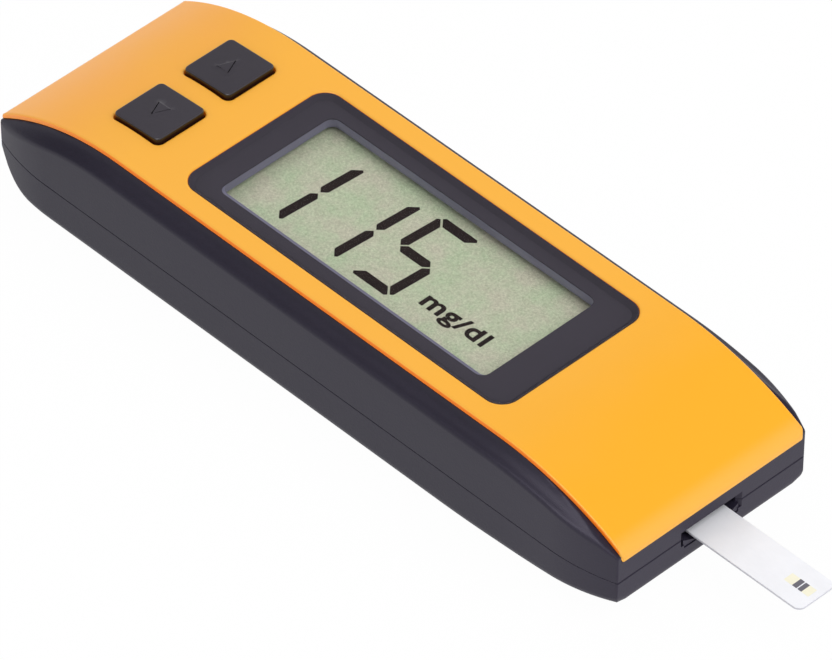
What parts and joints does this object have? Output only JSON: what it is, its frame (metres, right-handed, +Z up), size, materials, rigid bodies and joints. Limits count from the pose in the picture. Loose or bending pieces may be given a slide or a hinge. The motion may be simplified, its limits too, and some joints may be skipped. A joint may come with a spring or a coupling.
{
  "type": "blood glucose meter",
  "caption": "Hand-held blood glucose meter with a display window, square keys, a rear battery door and a test strip in its end port.",
  "frame": {"origin": "middle of the flat resting face of the case, on the plane it stands on", "axes": "+X along the length towards the strip port, +Y towards the top of the digits, +Z up through the display"},
  "size_m": [0.1443, 0.04, 0.02],
  "materials": {
    "cover_plastic": "satin moulded plastic in warm orange",
    "case_plastic": "fine spark-textured dark grey plastic",
    "clear_lens": "clear acrylic window",
    "border_print": "dark adhesive border behind the window",
    "frame_plastic": "grey moulded plastic",
    "display_film": "grey-green display film",
    "display_glass": "thin display glass",
    "display_ink": "dark display bars",
    "contact_rubber": "striped contact rubber",
    "board_green": "green circuit board",
    "chip_black": "black moulded package",
    "bright_metal": "plated sheet metal",
    "capacitor_tan": "tan ceramic",
    "key_plastic": "glossy black plastic",
    "pale_plastic": "pale moulded plastic",
    "contact_metal": "gold-plated contact",
    "cell_jacket": "plain coloured cell jacket",
    "screw_steel": "plated steel",
    "strip_white": "white plastic strip",
    "strip_carbon": "printed carbon tracks",
    "strip_patch": "pale yellow and dark printed marks"
  },
  "bodies": {
    "meter": {"face_cover": "cover_plastic", "upper_case": "case_plastic", "lower_case": "case_plastic", "display_lens": "clear_lens", "lens_border": "border_print", "display_frame": "frame_plastic", "front_polariser": "display_film", "front_glass": "display_glass", "display_segments": "display_ink", "rear_glass": "display_glass", "reflector": "display_film", "zebra_strips": "contact_rubber", "circuit_board": "board_green", "microcontroller": "chip_black", "signal_chip": "chip_black", "memory_chip": "chip_black", "quartz_crystal": "bright_metal", "board_capacitors": "capacitor_tan", "buzzer": "chip_black", "up_switch": "chip_black", "down_switch": "chip_black", "strip_connector": "pale_plastic", "connector_contacts": "contact_metal", "battery_1": "cell_jacket", "battery_2": "cell_jacket", "battery_springs": "bright_metal", "battery_plates": "bright_metal", "case_screws": "screw_steel", "board_screws": "screw_steel"},
    "up_button": {"up_key": "key_plastic", "up_switch_stem": "pale_plastic"},
    "down_button": {"down_key": "key_plastic", "down_switch_stem": "pale_plastic"},
    "door": {"battery_door": "case_plastic"},
    "test_strip": {"strip_base": "strip_white", "strip_tracks": "strip_carbon", "strip_film": "strip_white", "strip_marks": "strip_patch"}
  },
  "joints": [
    {"name": "up_press", "type": "slide", "parent": "meter", "child": "up_button", "axis": [0, 0, -1], "range_m": [0, 0.0005], "stiffness_N_per_m": 2000},
    {"name": "down_press", "type": "slide", "parent": "meter", "child": "down_button", "axis": [0, 0, -1], "range_m": [0, 0.0005], "stiffness_N_per_m": 2000},
    {"name": "door_slide", "type": "slide", "parent": "meter", "child": "door", "axis": [-1, 0, 0], "range_m": [0, 0.056]},
    {"name": "strip_slide", "type": "slide", "parent": "meter", "child": "test_strip", "axis": [1, 0, 0], "range_m": [0, 0.012]}
  ]
}
